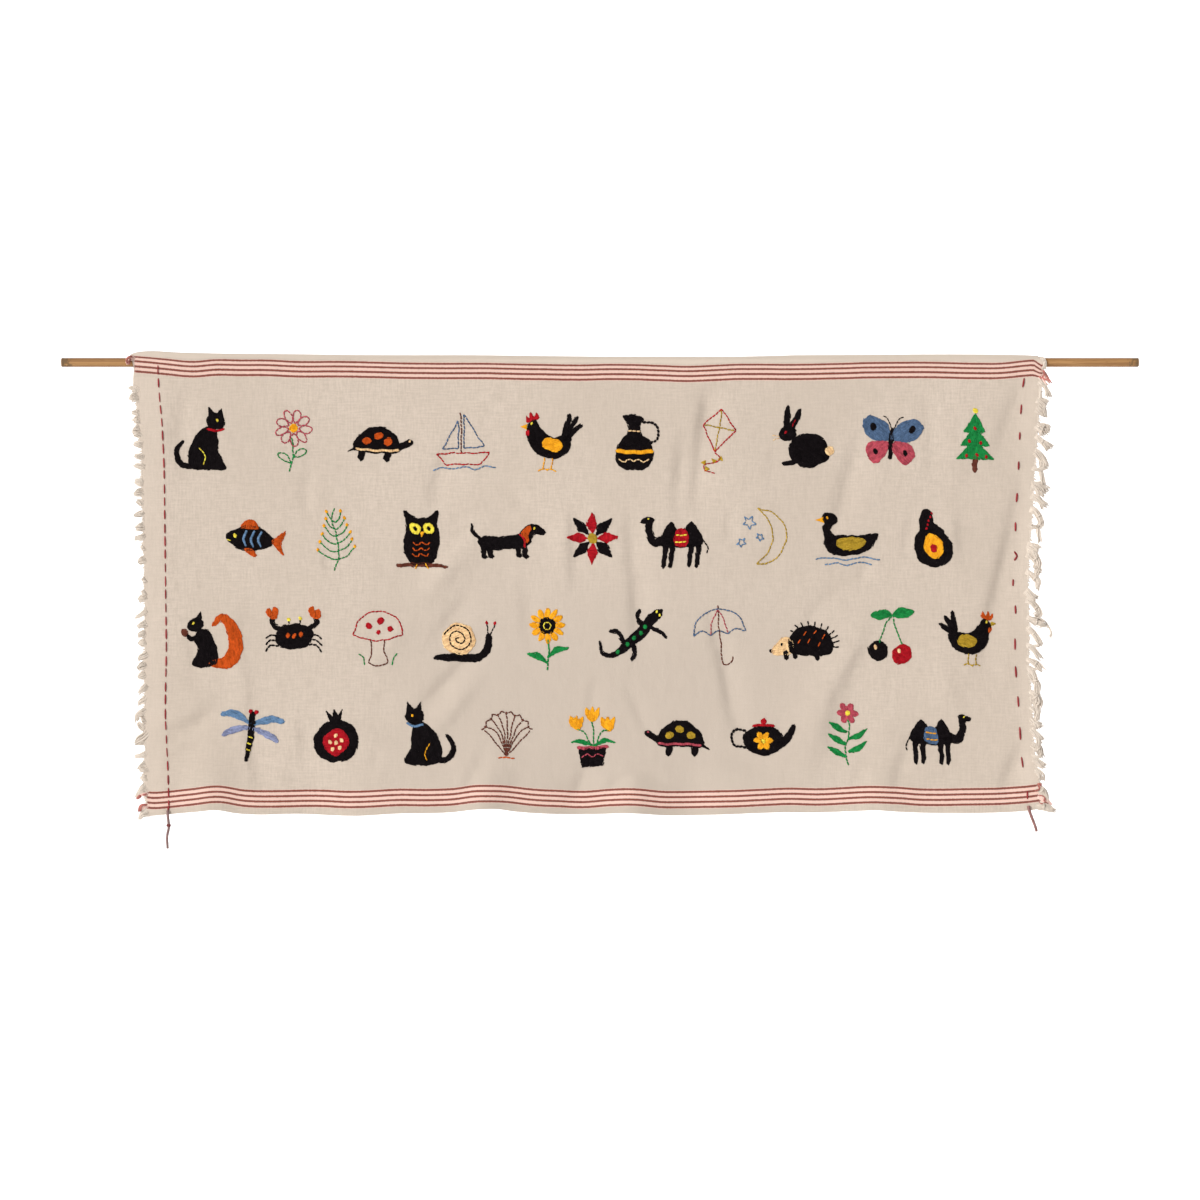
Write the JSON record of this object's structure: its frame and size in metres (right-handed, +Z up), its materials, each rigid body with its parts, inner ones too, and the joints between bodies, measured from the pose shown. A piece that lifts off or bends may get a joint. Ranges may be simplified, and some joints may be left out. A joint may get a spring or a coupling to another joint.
{
  "type": "embroidered wall hanging on a wooden rod",
  "caption": "Light hand-woven cotton panel with striped borders, small stitched motifs and knotted side fringe, hung by a sleeve along its top edge from a plain round wooden rod.",
  "frame": {"origin": "on the rod's axis, halfway along the rod", "axes": "+X along the rod, to the right as seen from the front; +Y away from the viewer, towards the wall; +Z up"},
  "size_m": [1.436, 0.0178, 0.6629],
  "materials": {
    "wood": "bare, lightly worn",
    "cloth": "matt hand-woven cotton",
    "warp": "knotted cotton yarn",
    "red_thread": "twisted cotton thread"
  },
  "bodies": {
    "root": {"rod": "wood", "cloth": "cloth", "fringe_left": "warp", "fringe_right": "warp", "thread_end_left": "red_thread", "thread_end_right": "red_thread"}
  },
  "joints": []
}
